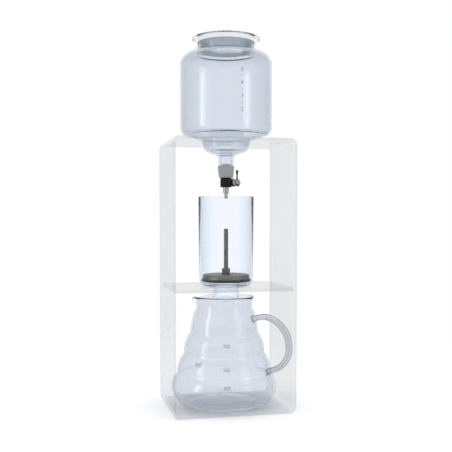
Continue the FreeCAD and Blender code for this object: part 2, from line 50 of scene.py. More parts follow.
# Shader maths: a socket whose operators add Math nodes

class Link:
    def __init__(self, tree, socket):
        self.tree = tree
        self.socket = socket

    def maths(self, operation, first, second):
        mathNode = self.tree.nodes.new("ShaderNodeMath")
        mathNode.operation = operation
        for spot, value in zip(mathNode.inputs, (first, second)):
            plug(self.tree, spot, value)
        return Link(self.tree, mathNode.outputs[0])

    def __add__(self, other):
        return self.maths("ADD", self, other)

    def __radd__(self, other):
        return self.maths("ADD", other, self)

    def __sub__(self, other):
        return self.maths("SUBTRACT", self, other)

    def __rsub__(self, other):
        return self.maths("SUBTRACT", other, self)

    def __mul__(self, other):
        return self.maths("MULTIPLY", self, other)

    def __rmul__(self, other):
        return self.maths("MULTIPLY", other, self)

    def __pow__(self, other):
        return self.maths("POWER", self, other)


def plug(tree, spot, value):
    if isinstance(value, Link):
        tree.links.new(value.socket, spot)
    elif isinstance(value, (tuple, list)) and len(value) == 3 and spot.type == "RGBA":
        spot.default_value = (*value, 1)
    else:
        spot.default_value = value


def addNode(tree, kind, settings, output, sockets):
    # Adds a node with its settings and then its sockets, which go by name or, as _0, by number
    made = tree.nodes.new(kind)
    for key, value in (settings or {}).items():
        setattr(made, key, value)
    for key, value in sockets.items():
        spot = made.inputs[int(key[1:])] if key[1:].isdigit() else made.inputs[key.replace("_", " ")]
        plug(tree, spot, value)
    return Link(tree, made.outputs[output])


class Finish:
    # One material and its nodes
    def __init__(self, name):
        self.material = bpy.data.materials.new(name)
        self.material.use_nodes = True
        self.tree = self.material.node_tree
        self.tree.nodes.clear()
        self.out = self.tree.nodes.new("ShaderNodeOutputMaterial")

    def node(self, kind, settings=None, output=0, **sockets):
        return addNode(self.tree, "ShaderNode" + kind, settings, output, sockets)

    def coordinates(self, scale):
        spots = self.node("TexCoord", output=3)
        return self.node("Mapping", Vector=spots, Scale=scale)

    def noise(self, size, detail=3, stretch=(1, 1, 1)):
        # size is the width in metres of one patch of the noise
        return self.node("TexNoise", Vector=self.coordinates(stretch), Scale=1 / size, Detail=detail)

    def blend(self, factor, first, second):
        # Mixes two colours
        mixer = self.tree.nodes.new("ShaderNodeMix")
        mixer.data_type = "RGBA"
        plug(self.tree, mixer.inputs[0], factor)
        plug(self.tree, mixer.inputs[6], first)
        plug(self.tree, mixer.inputs[7], second)
        return Link(self.tree, mixer.outputs[2])

    def bump(self, height, depth):
        return self.node("Bump", Height=height, Distance=depth, Strength=1.0)

    def finish(self, shader):
        self.tree.links.new(shader.socket, self.out.inputs["Surface"])
        return self.material


glassPlay = {"detail": 2, "patchShare": 3, "edgeRoughness": 0.02, "groundBand": 0.6}


def glassFinish(name, look):
    # Clear glass with painted shade that darkens it towards its outlines; it lets the lamps through
    made = Finish(name)
    ripple = made.noise(look["rippleWidth"], glassPlay["detail"])
    wavy = made.bump(ripple, look["rippleDepth"])
    patches = made.noise(look["rippleWidth"] * glassPlay["patchShare"], glassPlay["detail"])
    rough = 0.0
    tint = made.blend(patches, look["tint"], look["tintAlso"])
    if "ground" in look:
        height = made.node("SeparateXYZ", output=2, Vector=made.node("TexCoord", output=3))
        above = made.node("MapRange", Value=height, From_Min=look["ground"] * mm,
                          From_Max=(look["ground"] + glassPlay["groundBand"]) * mm)
        rough = look["groundRoughness"] * (1 - above)
        tint = made.blend(above, look["groundTint"], tint)
    clear = made.node("BsdfPrincipled", Base_Color=tint, Roughness=rough,
                      IOR=look["bend"], Transmission_Weight=1.0, Normal=wavy)
    # Painted shade: the edge colours stand in for the darker surroundings that glass shows at its outlines
    paintedEdgeShade = made.node("BsdfPrincipled", Base_Color=made.blend(patches, look["edge"], look["edgeShadeAlso"]),
                     Roughness=glassPlay["edgeRoughness"], IOR=look["bend"],
                     Transmission_Weight=1.0, Normal=wavy)
    grazingShadeMask = made.node("LayerWeight", output=1, Blend=0.5) ** look["edgeShadeWidth"]
    glass = made.node("MixShader", _0=grazingShadeMask, _1=clear, _2=paintedEdgeShade)
    shade = made.node("BsdfTransparent", Color=look["shadow"])
    lamp = made.node("LightPath", output=1)
    return made.finish(made.node("MixShader", _0=lamp, _1=glass, _2=shade))


# The tints hold the glass's faint own blue and painted shade for the grey surroundings seen through the
# glass; the edge colours are painted shade at the outlines
jarGlass = {"tint": (0.81, 0.835, 0.89), "tintAlso": (0.83, 0.85, 0.90), "edge": (0.42, 0.46, 0.50),
            "edgeShadeAlso": (0.45, 0.49, 0.53), "edgeShadeWidth": 1.6, "bend": 1.47, "rippleWidth": 0.02,
            "rippleDepth": 0.00002, "shadow": (0.93, 0.94, 0.95)}
chamberGlass = dict(jarGlass, tint=(0.965, 0.968, 0.985), tintAlso=(0.955, 0.96, 0.975), edgeShadeWidth=1.6,
                    edge=(0.58, 0.62, 0.66), edgeShadeAlso=(0.62, 0.66, 0.70), bend=1.16)
serverGlass = dict(jarGlass, tint=(0.82, 0.84, 0.885), tintAlso=(0.835, 0.855, 0.895), edgeShadeWidth=2.2,
                   edge=(0.58, 0.62, 0.67), edgeShadeAlso=(0.61, 0.65, 0.70))
loopGlass = dict(jarGlass, tint=(0.56, 0.59, 0.62), tintAlso=(0.60, 0.63, 0.66), edge=(0.16, 0.18, 0.20),
                 edgeShadeAlso=(0.20, 0.22, 0.24), edgeShadeWidth=1.2)
lidGlass = dict(jarGlass, tint=(0.80, 0.84, 0.86), tintAlso=(0.82, 0.855, 0.87), edge=(0.74, 0.78, 0.80),
                edgeShadeAlso=(0.77, 0.81, 0.83), edgeShadeWidth=3.0, rippleWidth=0.014, bend=1.12, ground=523,
                groundRoughness=0.42, groundTint=(0.44, 0.49, 0.53))
acrylic = {"tint": (0.27, 0.34, 0.42), "tintAlso": (0.31, 0.38, 0.46), "veil": 0.04, "slantShade": 0.40,
           "slantShadePower": 3, "cut": 0.16, "cutPower": 8, "gloss": 0.06, "glossPlay": 0.08, "bend": 1.49,
           "rippleWidth": 0.06, "rippleDetail": 2, "rippleDepth": 0.00001}


def acrylicFinish(name, look):
    # Clear sheet: a thin veil of its own tint, made thicker by painted shade at a slant and on the cut front
    # and back edges
    made = Finish(name)
    patches = made.noise(look["rippleWidth"], look["rippleDetail"])
    across = made.node("SeparateXYZ", output=1, Vector=made.node("TexCoord", output=1))
    # Painted shade: more veil on the cut front and back edges and at a slant
    cut = across.maths("ABSOLUTE", across, 0) ** look["cutPower"]
    grazingShadeMask = made.node("LayerWeight", output=1, Blend=0.5) ** look["slantShadePower"]
    veilAndShade = look["veil"] + look["slantShade"] * grazingShadeMask + look["cut"] * cut
    colour = made.blend(patches, look["tint"], look["tintAlso"])
    return made.finish(made.node("BsdfPrincipled", Base_Color=colour, Alpha=veilAndShade, IOR=look["bend"],
                                 Roughness=look["gloss"] + look["glossPlay"] * patches,
                                 Normal=made.bump(patches, look["rippleDepth"])))


def dullFinish(name, look, **more):
    # Cloudy colour and roughness; where the look has a depth, its grain or else its clouds are raised
    made = Finish(name)
    cloud = made.noise(look["cloud"], look["detail"])
    if "depth" in look:
        grain = made.noise(look["grain"], look["grainDetail"]) if "grain" in look else cloud
        more["Normal"] = made.bump(grain, look["depth"])
    colour = made.blend(cloud, look["tint"], look["tintAlso"])
    gloss = look["roughness"] + look["roughnessPlay"] * cloud
    return made.finish(made.node("BsdfPrincipled", Base_Color=colour, Roughness=gloss, **more))


siliconeLook = {"tint": (0.26, 0.28, 0.285), "tintAlso": (0.33, 0.34, 0.335), "cloud": 0.006, "detail": 4,
                "roughness": 0.42, "roughnessPlay": 0.16, "grain": 0.0008, "grainDetail": 3, "depth": 0.00004}
plasticLook = {"tint": (0.003, 0.003, 0.003), "tintAlso": (0.006, 0.006, 0.006), "cloud": 0.004, "detail": 3,
               "roughness": 0.34, "roughnessPlay": 0.2, "grain": 0.0005, "grainDetail": 3, "depth": 0.00003}
rubberLook = {"tint": (0.012, 0.012, 0.011), "tintAlso": (0.03, 0.03, 0.028), "cloud": 0.003, "detail": 4,
              "roughness": 0.5, "roughnessPlay": 0.25, "depth": 0.00003}
printLook = {"tint": (0.16, 0.17, 0.18), "tintAlso": (0.24, 0.25, 0.26), "cloud": 0.0012, "detail": 3,
             "roughness": 0.55, "roughnessPlay": 0.2}
metalPlay = {"cloud": 0.012, "cloudDetail": 3, "grainDetail": 4, "grainShare": 0.6, "cloudShare": 0.4}


def metalFinish(name, look):
    # Grain runs round or along the piece as stretch says
    made = Finish(name)
    grain = made.noise(look["grain"], metalPlay["grainDetail"], look["stretch"])
    cloud = made.noise(metalPlay["cloud"], metalPlay["cloudDetail"])
    colour = made.blend(grain, look["tint"], look["tintAlso"])
    mixed = grain * metalPlay["grainShare"] + cloud * metalPlay["cloudShare"]
    gloss = look["roughness"] + look["roughnessPlay"] * mixed
    return made.finish(made.node("BsdfPrincipled", Base_Color=colour, Metallic=1.0, Roughness=gloss,
                                 Normal=made.bump(grain, look["depth"])))


chromeLook = {"tint": (0.24, 0.24, 0.24), "tintAlso": (0.34, 0.34, 0.34), "roughness": 0.1,
              "roughnessPlay": 0.1, "grain": 0.002, "stretch": (1, 1, 1), "depth": 0.000004}
steelLook = {"tint": (0.08, 0.08, 0.078), "tintAlso": (0.15, 0.15, 0.145), "roughness": 0.26,
             "roughnessPlay": 0.2, "grain": 0.0012, "stretch": (1, 1, 0.08), "depth": 0.00002}
wireLook = {"tint": (0.11, 0.11, 0.10), "tintAlso": (0.22, 0.22, 0.20), "roughness": 0.3,
            "roughnessPlay": 0.25, "grain": 0.0015, "stretch": (1, 1, 1), "depth": 0.00001}
leverLook = {"tint": (0.02, 0.02, 0.02), "tintAlso": (0.05, 0.05, 0.05), "roughness": 0.16,
             "roughnessPlay": 0.14, "grain": 0.0015, "stretch": (1, 1, 0.2), "depth": 0.00001}


finishes = {
    "jar": glassFinish("jarGlass", jarGlass), "chamber": glassFinish("chamberGlass", chamberGlass),
    "server": glassFinish("serverGlass", serverGlass), "loop": glassFinish("loopGlass", loopGlass),
    "lid": glassFinish("lidGlass", lidGlass),
    "acrylic": acrylicFinish("clearAcrylic", acrylic),
    "silicone": dullFinish("greySilicone", siliconeLook, IOR=1.41, Subsurface_Weight=0.25,
                           Subsurface_Scale=0.004, Sheen_Weight=0.1),
    "plastic": dullFinish("blackPlastic", plasticLook, Specular_IOR_Level=0.15),
    "chrome": metalFinish("chrome", chromeLook), "steel": metalFinish("brushedSteel", steelLook),
    "wire": metalFinish("meshWire", wireLook), "lever": metalFinish("blackMetal", leverLook),
    "rubber": dullFinish("blackRubber", rubberLook), "print": dullFinish("greyPrint", printLook)}
print("materials made")


# Shapes

onAxis = 0.01
quarterVia = 0.293      # how far in the middle of a quarter circle lies, as a share of its radius
softening = {"segments": 2, "angle": 35, "join": 0.000002, "flat": 0.5}


class Run:
    # Points of a turned profile in millimetres: radius and height
    def __init__(self, radius, height):
        self.points = [(radius, height)]

    def line(self, radius, height):
        self.points.append((radius, height))
        return self

    def arc(self, viaRadius, viaHeight, radius, height, step=5):
        # Goes on through a point to another, in steps of a few degrees
        start = self.points[-1]
        centre, size = circleThrough(start, (viaRadius, viaHeight), (radius, height))
        angles = [math.atan2(p[1] - centre[1], p[0] - centre[0]) for p in
                  (start, (viaRadius, viaHeight), (radius, height))]
        turn = (angles[2] - angles[0]) % math.tau
        if (angles[1] - angles[0]) % math.tau > turn:
            turn -= math.tau
        steps = max(3, round(abs(math.degrees(turn)) / step))
        for number in range(1, steps + 1):
            angle = angles[0] + turn * number / steps
            self.points.append((centre[0] + size * math.cos(angle), centre[1] + size * math.sin(angle)))
        return self

    def inside(self, wall):
        # The points moved by one wall to the right of travel, in reverse order
        moved = []
        count = len(self.points)
        for number, spot in enumerate(self.points):
            sides = []
            for first, second in ((number - 1, number), (number, number + 1)):
                if first >= 0 and second < count:
                    along = Vector(self.points[second]) - Vector(self.points[first])
                    sides.append(Vector((along.y, -along.x)).normalized())
            shift = (sides[0] + sides[-1]) / (1 + sides[0].dot(sides[-1]))
            moved.append((max(spot[0] + wall * shift.x, 0), spot[1] + wall * shift.y))
        return moved[::-1]

    def shell(self, wall):
        # A closed wall with its open ends rounded
        inner = self.inside(wall)
        ring = list(self.points)
        if ring[-1][0] > onAxis:
            ring += rounded(ring[-1], inner[0])
        ring += inner
        if ring[0][0] > onAxis:
            ring += rounded(inner[-1], ring[0])
        return ring


def rounded(start, end):
    # Points of a flat half circle from start to end, without the two ends
    first, last = Vector(start), Vector(end)
    middle = (first + last) / 2
    reach = (first - middle).length
    across = (first - middle).normalized()
    out = Vector((across.y, -across.x))
    spots = []
    for number in range(1, 6):
        angle = math.pi * number / 6
        spots.append(tuple(middle + across * reach * math.cos(angle) + out * reach * 0.6 * math.sin(angle)))
    return spots


def circleThrough(first, second, third):
    ax, ay = first
    bx, by = second
    cx, cy = third
    d = 2 * (ax * (by - cy) + bx * (cy - ay) + cx * (ay - by))
    a, b, c = ax * ax + ay * ay, bx * bx + by * by, cx * cx + cy * cy
    x = (a * (by - cy) + b * (cy - ay) + c * (ay - by)) / d
    y = (a * (cx - bx) + b * (ax - cx) + c * (bx - ax)) / d
    return (x, y), math.hypot(ax - x, ay - y)


def newPiece(name, mesh, finish):
    piece = bpy.data.objects.new(name, mesh)
    bpy.context.scene.collection.objects.link(piece)
    mesh.materials.clear()
    mesh.materials.append(finishes[finish])
    return piece


def settle(piece, body, nodes):
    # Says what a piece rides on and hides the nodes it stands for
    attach(piece, body)
    if nodes:
        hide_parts(*nodes)
    return piece


def turnedMesh(name, ring, axisX=0.0, segments=144, shape=None):
    # Turns a closed profile round the upright axis; shape may move each point
    bm = bmesh.new()
    columns = []
    for number in range(segments):
        angle = math.tau * number / segments
        column = []
        for radius, height in ring:
            r, z = (radius, height) if shape is None else shape(radius, height, angle)
            spot = ((axisX + r * math.cos(angle)) * mm, r * math.sin(angle) * mm, z * mm)
            column.append(bm.verts.new(spot))
        columns.append(column)
    count = len(ring)
    for number, column in enumerate(columns):
        beside = columns[(number + 1) % segments]
        for low in range(count):
            high = (low + 1) % count
            corners = (column[low], beside[low], beside[high], column[high])
            if ring[low][0] < onAxis and ring[high][0] < onAxis:
                continue
            bm.faces.new(corners)
    bmesh.ops.remove_doubles(bm, verts=bm.verts, dist=0.00001)
    bmesh.ops.dissolve_degenerate(bm, edges=bm.edges, dist=0.000001)
    if bm.calc_volume(signed=True) < 0:
        bmesh.ops.reverse_faces(bm, faces=bm.faces)
    mesh = bpy.data.meshes.new(name)
    bm.to_mesh(mesh)
    bm.free()
    mesh.shade_smooth()
    return mesh


def softened(name, node, width, finish):
    # A CAD node's own shape with its edges rounded off
    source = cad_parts[node]
    bm = bmesh.new()
    bm.from_mesh(source.data)
    bmesh.ops.remove_doubles(bm, verts=bm.verts, dist=softening["join"])
    bmesh.ops.dissolve_limit(bm, angle_limit=math.radians(softening["flat"]), verts=bm.verts, edges=bm.edges)
    mesh = bpy.data.meshes.new(name)
    bm.to_mesh(mesh)
    bm.free()
    mesh.shade_smooth()
    mesh.set_sharp_from_angle(angle=math.radians(softening["angle"]))
    piece = newPiece(name, mesh, finish)
    edges = piece.modifiers.new("edges", "BEVEL")
    edges.width = width * mm
    edges.segments = softening["segments"]
    edges.limit_method = "ANGLE"
    edges.angle_limit = math.radians(softening["angle"])
    piece.modifiers.new("normals", "WEIGHTED_NORMAL").keep_sharp = True
    return baked(piece)


def baked(piece):
    # Applies a piece's modifiers
    plain = bpy.data.meshes.new_from_object(piece.evaluated_get(bpy.context.evaluated_depsgraph_get()))
    piece.modifiers.clear()
    piece.data = plain
    return piece


# Stand: bent acrylic sheet with polished edges

standLook = {"edge": 0.45}


def makeStand():
    for node in ("frame_loop", "middle_shelf"):
        piece = softened(node + "_sheet", node, standLook["edge"], "acrylic")
        settle(piece, "stand", [node])


# Reservoir: a blown jar whose foot narrows to a bulb and a stem

jar = {"radius": 65.5, "wall": 2.2, "neck": 41, "neckTop": 523.5, "neckLow": 511.5, "shoulder": 57.5,
       "shoulderHeight": 505.6, "sideHigh": 494, "sideLow": 403, "footRadius": 55.5, "footRise": 7,
       "hole": 35, "play": 1.8, "bulb": 376, "bulbRadius": 26.6, "bulbLow": 368.6, "rootRadius": 15,
       "root": 365, "stem": 10.8, "stemStart": 360, "stemEnd": 341}


def jarOutline():
    seat = standTop + 0.15
    foot = seat + jar["footRise"]
    slope = jar["footRise"] / (jar["footRadius"] - jar["hole"])
    collar = jar["hole"] - jar["play"]
    corner = (jar["radius"] - jar["footRadius"]) * 0.7
    run = Run(jar["neck"], jar["neckTop"] - 0.7).line(jar["neck"], jar["neckLow"])
    run.arc(jar["neck"] + 0.5, jar["neckLow"] - 1.5, jar["neck"] + 2, jar["neckLow"] - 2.3, 15)
    run.arc(jar["shoulder"], jar["shoulderHeight"], jar["radius"], jar["sideHigh"])
    run.line(jar["radius"], (jar["sideHigh"] + jar["sideLow"]) / 2).line(jar["radius"], jar["sideLow"])
    run.arc(jar["footRadius"] + corner, foot + 3, jar["footRadius"], foot)
    run.line(collar + 3, seat + 0.6).line(collar + 0.6, seat - slope - 0.3)
    run.line(collar, jar["bulb"] + 4).line(collar, jar["bulb"] + 2)
    run.arc(collar - 1.4, jar["bulb"] - 3.2, jar["bulbRadius"], jar["bulbLow"])
    run.line(jar["rootRadius"], jar["root"])
    run.arc(jar["stem"] + 1.1, jar["stemStart"] + 3, jar["stem"], jar["stemStart"], 12)
    return run.line(jar["stem"], jar["stemEnd"] + 2).line(jar["stem"], jar["stemEnd"])


def makeReservoir():
    mesh = turnedMesh("reservoir_jar", jarOutline().shell(jar["wall"]))
    settle(newPiece("reservoir_jar", mesh, "jar"), "reservoir", ["reservoir_glass"])


# Lid: a glass cup that hangs in the neck by its flange

lid = {"radius": 48.35, "rise": 6.4, "gap": 0.1, "plug": 38.1, "tip": 36.5, "depth": 13.5, "wall": 2.4,
       "lip": 5}


def makeLid():
    low = jar["neckTop"] + lid["gap"]
    high = low + lid["rise"]
    base = low - lid["depth"]
    inner = lid["tip"] - lid["wall"]
    run = Run(0, base).line(20, base).line(lid["tip"] - 1.4, base)
    run.arc(lid["tip"] - 0.4, base + 0.4, lid["tip"], base + 1.4, 15)
    run.line(lid["plug"], low).line(jar["neck"] + 0.6, low).line(lid["radius"] - 0.4, high - 2.4)
    run.arc(lid["radius"], high - 1.2, lid["radius"] - 1.2, high, 12)
    run.line(lid["radius"] - lid["lip"], high)
    run.arc(lid["radius"] - lid["lip"] - 3.2, high - 0.9, inner + 1.5, high - 3.5, 10)
    run.line(inner, base + lid["wall"] + 1.6)
    run.arc(inner - 0.5, base + lid["wall"] + 0.5, inner - 1.6, base + lid["wall"], 15)
    run.line(20, base + lid["wall"]).line(0, base + lid["wall"])
    mesh = turnedMesh("lid_cup", run.points)
    settle(newPiece("lid_cup", mesh, "lid"), "lid", ["lid"])


# Chamber: a slightly tapered glass cylinder with an outlet tube

chamber = {"radius": 39.9, "low": 38.7, "wall": 2.2, "top": 305.4, "gap": 0.1, "corner": 8.5, "outlet": 18.8,
           "bend": 2.2, "outletEnd": 155.5}


def makeChamber():
    foot = shelfTop + chamber["gap"]
    corner = chamber["corner"]
    outlet = chamber["outlet"]
    bend = chamber["bend"]
    run = Run(chamber["radius"], chamber["top"] - 1).line(chamber["low"], foot + corner)
    run.arc(chamber["low"] - corner * quarterVia, foot + corner * quarterVia, chamber["low"] - corner, foot)
    run.line(outlet + bend, foot)
    run.arc(outlet + bend * quarterVia, foot - bend * quarterVia, outlet, foot - bend, 15)
    run.line(outlet, chamber["outletEnd"] + 0.8)
    mesh = turnedMesh("chamber_cylinder", run.shell(chamber["wall"]))
    settle(newPiece("chamber_cylinder", mesh, "chamber"), "chamber", ["chamber_glass"])


# Server: a jug with creases round it, a beak and a welded loop

server = {"shift": -3, "wall": 2.4, "rim": 43, "top": 161.5, "throat": 40.5, "throatHeight": 147,
          "creases": ((49.0, 110), (58.3, 80), (68.0, 52)), "swell": (6.2, 2.9, 2.6), "belly": 76,
          "bellyHeight": 33, "corner": 70, "cornerHeight": 16, "foot": 54, "punt": 40, "puntRise": 3.5,
          "beakReach": 9.5, "beakSpread": 38, "beakDepth": 15, "beakDroop": 7.5,
          "beakPowers": (1.5, 1.7, 3), "axisPart": 20, "floor": 5.1, "turn": -36.6}


def serverOutline():
    floor = server["floor"]
    raised = floor + server["puntRise"]
    swell = server["swell"]
    first, second, third = server["creases"]
    run = Run(server["rim"], server["top"] - 1)
    run.arc(server["throat"] + 0.5, server["throatHeight"] + 7, server["throat"], server["throatHeight"])
    run.arc(server["throat"] + swell[0], server["throatHeight"] - 19, *first)
    run.arc((first[0] + second[0]) / 2 + swell[1], (first[1] + second[1]) / 2 + 0.6, *second)
    run.arc((second[0] + third[0]) / 2 + swell[2], (second[1] + third[1]) / 2 + 1, *third)
    run.arc(server["belly"], server["bellyHeight"], server["corner"], server["cornerHeight"])
    run.arc(server["corner"] - 5.5, floor + 4, server["foot"], floor)
    run.line(server["foot"] - 5, floor)
    run.arc(server["punt"] + 4, floor + server["puntRise"] * 0.6, server["punt"], raised, 12)
    return run.line(server["axisPart"], raised).line(0, raised)


def beaked(radius, height, angle):
    # Draws the rim out into the beak, which droops at its tip
    start = server["top"] - server["beakDepth"]
    if height <= start or radius < server["axisPart"]:
        return radius, height
    away = math.degrees(angle) - (180 + server["turn"])
    away = (away + 180) % 360 - 180
    if abs(away) > server["beakSpread"]:
        return radius, height
    side = 0.5 + 0.5 * math.cos(math.pi * away / server["beakSpread"])
    rise = (height - start) / server["beakDepth"]
    sidePower, risePower, droopPower = server["beakPowers"]
    pull = side ** sidePower * rise ** risePower
    return radius + server["beakReach"] * pull, height - server["beakDroop"] * pull * rise ** droopPower


loop = {"reach": 99.4, "height": 93, "topEnd": 130.5, "lowEnd": 56.5, "topReach": 64, "top": 134.6,
        "lowReach": 74, "low": 59.4, "thick": 5, "thin": 3.6, "flare": 1.8, "rootShare": 0.06,
        "swellPower": 0.8}


def makeServer():
    mesh = turnedMesh("server_jug", serverOutline().shell(server["wall"]), server["shift"], 160, beaked)
    settle(newPiece("server_jug", mesh, "server"), "server", ["server_glass"])
    start = server["throat"] + 4.6
    end = server["creases"][2][0] - 0.5
    run = Run(start, loop["topEnd"])
    run.arc((start + loop["topReach"]) / 2, loop["top"] - 1.2, loop["topReach"], loop["top"])
    run.arc(loop["reach"] - 9.5, loop["height"] + 27, loop["reach"], loop["height"], 4)
    run.arc(loop["reach"] - 7, loop["low"] + 11.5, loop["lowReach"], loop["low"], 4)
    run.line((loop["lowReach"] + end) / 2, (loop["low"] + loop["lowEnd"]) / 2).line(end, loop["lowEnd"])
    mesh = rodMesh("server_loop", run.points)
    turn = Matrix.Rotation(math.radians(server["turn"]), 4, "Z")
    mesh.transform(Matrix.Translation((server["shift"] * mm, 0, 0)) @ turn)
    settle(newPiece("server_loop", mesh, "loop"), "server", ["server_handle"])


def rodMesh(name, points, sides=32):
    # A round rod along points in the X-Z plane, thick in the middle and flared a little at its roots
    spots = [Vector((x, 0, z)) for x, z in points]
    lengths = [0.0]
    for first, second in zip(spots, spots[1:]):
        lengths.append(lengths[-1] + (second - first).length)
    bm = bmesh.new()
    rings = []
    for number, spot in enumerate(spots):
        before = spots[max(number - 1, 0)]
        after = spots[min(number + 1, len(spots) - 1)]
        along = (after - before).normalized()
        out = Vector((-along.z, 0, along.x))
        share = lengths[number] / lengths[-1]
        ends = max(0, 1 - min(share, 1 - share) / loop["rootShare"])
        swell = math.sin(math.pi * share) ** loop["swellPower"]
        radius = loop["thin"] + (loop["thick"] - loop["thin"]) * swell + loop["flare"] * ends ** 2
        ring = []
        for side in range(sides):
            angle = math.tau * side / sides
            shift = out * radius * math.cos(angle) + Vector((0, radius * math.sin(angle), 0))
            ring.append(bm.verts.new((spot + shift) * mm))
        rings.append(ring)
    for first, second in zip(rings, rings[1:]):
        for side in range(sides):
            beside = (side + 1) % sides
            bm.faces.new((first[side], first[beside], second[beside], second[side]))
    bm.faces.new(rings[0])
    bm.faces.new(rings[-1])
    bmesh.ops.recalc_face_normals(bm, faces=bm.faces)
    mesh = bpy.data.meshes.new(name)
    bm.to_mesh(mesh)
    bm.free()
    mesh.shade_smooth()
    return mesh


makeStand()
makeReservoir()
makeLid()
makeChamber()
makeServer()
print("sheet and glass made")


# Small parts keep the CAD's shape with soft edges; the last ones keep its own mesh too

smallParts = {
    "stem_stopper": (0.3, "silicone", "silicone_grey", "reservoir"),
    "valve_body": (0.3, "plastic", "black_plastic", "reservoir"),
    "outlet_nozzle": (0.15, "chrome", "chrome", "reservoir"),
    "drip_tip": (0.1, "chrome", "chrome", "reservoir"),
    "lever_hub": (0.12, "chrome", "chrome", "lever"),
    "lever_screw": (0.2, "chrome", "chrome", "lever"),
    "lever_arm": (0.1, "lever", "black_metal", "lever"),
    "strainer_nut": (0.3, "steel", "steel", "strainer"),
    "strainer_rod": (0.2, "steel", "steel", "strainer"),
    # The black gasket seals the strainer and also serves as painted shade under its rim
    "strainer_gasket": (0.2, "rubber", "rubber_black", "strainer"),
}
hiddenParts = {"inlet_tube": "steel", "valve_plug": "steel", "plug_ring": "rubber",
               "packing_washer": "rubber", "strainer_rim": "steel", "strainer_lock_nut": "steel"}


def makeSmallParts():
    for node, (width, finish, slot, body) in smallParts.items():
        piece = softened(node + "_piece", node, width, finish)
        settle(piece, body, [node])
    for node, finish in hiddenParts.items():
        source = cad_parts[node]
        for slot in source.material_slots:
            slot.material = finishes[finish]


# Geometry Nodes trees

class Tree:
    def __init__(self, name, inputs):
        self.tree = bpy.data.node_groups.new(name, "GeometryNodeTree")
        self.tree.interface.new_socket("Geometry", in_out="INPUT", socket_type="NodeSocketGeometry")
        self.tree.interface.new_socket("Geometry", in_out="OUTPUT", socket_type="NodeSocketGeometry")
        self.values = {}
        for key, value in inputs.items():
            kind = "NodeSocketInt" if isinstance(value, int) else "NodeSocketFloat"
            spot = self.tree.interface.new_socket(key, in_out="INPUT", socket_type=kind)
            self.values[spot.identifier] = value
        self.start = self.tree.nodes.new("NodeGroupInput")
        self.end = self.tree.nodes.new("NodeGroupOutput")

    def given(self, key):
        return Link(self.tree, self.start.outputs[key])

    def node(self, kind, settings=None, output=0, **sockets):
        return addNode(self.tree, kind, settings, output, sockets)

    def close(self, geometry, finish):
        real = self.node("GeometryNodeRealizeInstances", _0=geometry)
        painted = self.node("GeometryNodeSetMaterial", _0=real, Material=finishes[finish])
        self.tree.links.new(painted.socket, self.end.inputs[0])

    def grow(self, name):
        piece = bpy.data.objects.new(name, bpy.data.meshes.new(name))
        bpy.context.scene.collection.objects.link(piece)
        maker = piece.modifiers.new("tree", "NODES")
        maker.node_group = self.tree
        for identifier, value in self.values.items():
            maker[identifier] = value
        return piece


# Strainer: woven wire over a pressed cup

weave = {"radius": 31.4, "pitch": 1.25, "wire": 0.24, "sides": 6, "reach": 0.999, "pressed": 0.85,
         "drop": 1.15}


def wireTree(turned):
    # Straight wires side by side, each as long as the disc is wide there
    count = int(2 * weave["radius"] / weave["pitch"])
    tree = Tree("weave", {"radius": weave["radius"] * mm, "wire": weave["wire"] * mm, "count": count})
    reach = tree.given("radius")
    line = tree.node("GeometryNodeMeshLine", {"mode": "END_POINTS"}, Count=tree.given("count"),
                     Start_Location=tree.node("ShaderNodeCombineXYZ", X=-weave["reach"] * reach),
                     Offset=tree.node("ShaderNodeCombineXYZ", X=weave["reach"] * reach))
    place = tree.node("GeometryNodeInputPosition")
    across = tree.node("ShaderNodeSeparateXYZ", Vector=place)
    half = (reach * reach - across * across) ** 0.5
    rod = tree.node("GeometryNodeCurvePrimitiveLine", Start=(0, -1, 0), End=(0, 1, 0))
    stretch = tree.node("ShaderNodeCombineXYZ", X=1.0, Y=half, Z=1.0)
    rods = tree.node("GeometryNodeInstanceOnPoints", Points=line, Instance=rod, Scale=stretch)
    rods = tree.node("GeometryNodeRealizeInstances", _0=rods)
    section = tree.node("GeometryNodeCurvePrimitiveCircle", Resolution=weave["sides"],
                        Radius=tree.given("wire"))
    wires = tree.node("GeometryNodeCurveToMesh", Curve=rods, Profile_Curve=section, Fill_Caps=True)
    height = weaveHeight() + (2 * weave["wire"] * weave["pressed"] if turned else 0)
    wires = tree.node("GeometryNodeTransform", Geometry=wires, Translation=(0, 0, height * mm),
                      Rotation=(0, 0, math.radians(90 if turned else 0)))
    tree.close(wires, "wire")
    return tree


def weaveHeight():
    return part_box("strainer_mesh")[1][2] / mm - weave["drop"]


def makeStrainer():
    cup = softened("strainer_cup", "strainer_mesh", 0.2, "wire")
    layers = [baked(wireTree(turned).grow("weave_layer")) for turned in (False, True)]
    bm = bmesh.new()
    bm.from_mesh(cup.data)
    for layer in layers:
        bm.from_mesh(layer.data)
        bpy.data.objects.remove(layer)
    bm.to_mesh(cup.data)
    bm.free()
    settle(cup, "strainer", ["strainer_mesh"])


# Gland nut: the CAD's nut with its edges rounded off

gland = {"edge": 0.12}


def makeNut():
    nut = softened("gland_nut_piece", "gland_nut", gland["edge"], "chrome")
    settle(nut, "reservoir", ["gland_nut"])


makeSmallParts()
makeStrainer()
makeNut()
print("small parts made")


# Numerals printed on the glass

jarMarks = {"words": "5432", "angle": -83.5, "top": 475.3, "step": 17.95, "height": 5.2, "dot": 0.6}
serverMarks = (("700", -99.5, 97, 4.8), ("500", -99.5, 65.8, 4.8), ("300", -99.5, 42.3, 4.8),
               ("ml", -136.5, 71.5, 7.5))


ink = {"scale": 1.4, "lifted": 0.1, "low": 0.04, "join": 0.001, "smooth": 3, "dotSides": 16}


def radiusAt(outline, height):
    for (firstR, firstZ), (secondR, secondZ) in zip(outline, outline[1:]):
        if min(firstZ, secondZ) <= height <= max(firstZ, secondZ) and firstZ != secondZ:
            return firstR + (secondR - firstR) * (height - firstZ) / (secondZ - firstZ)
    return outline[0][0]


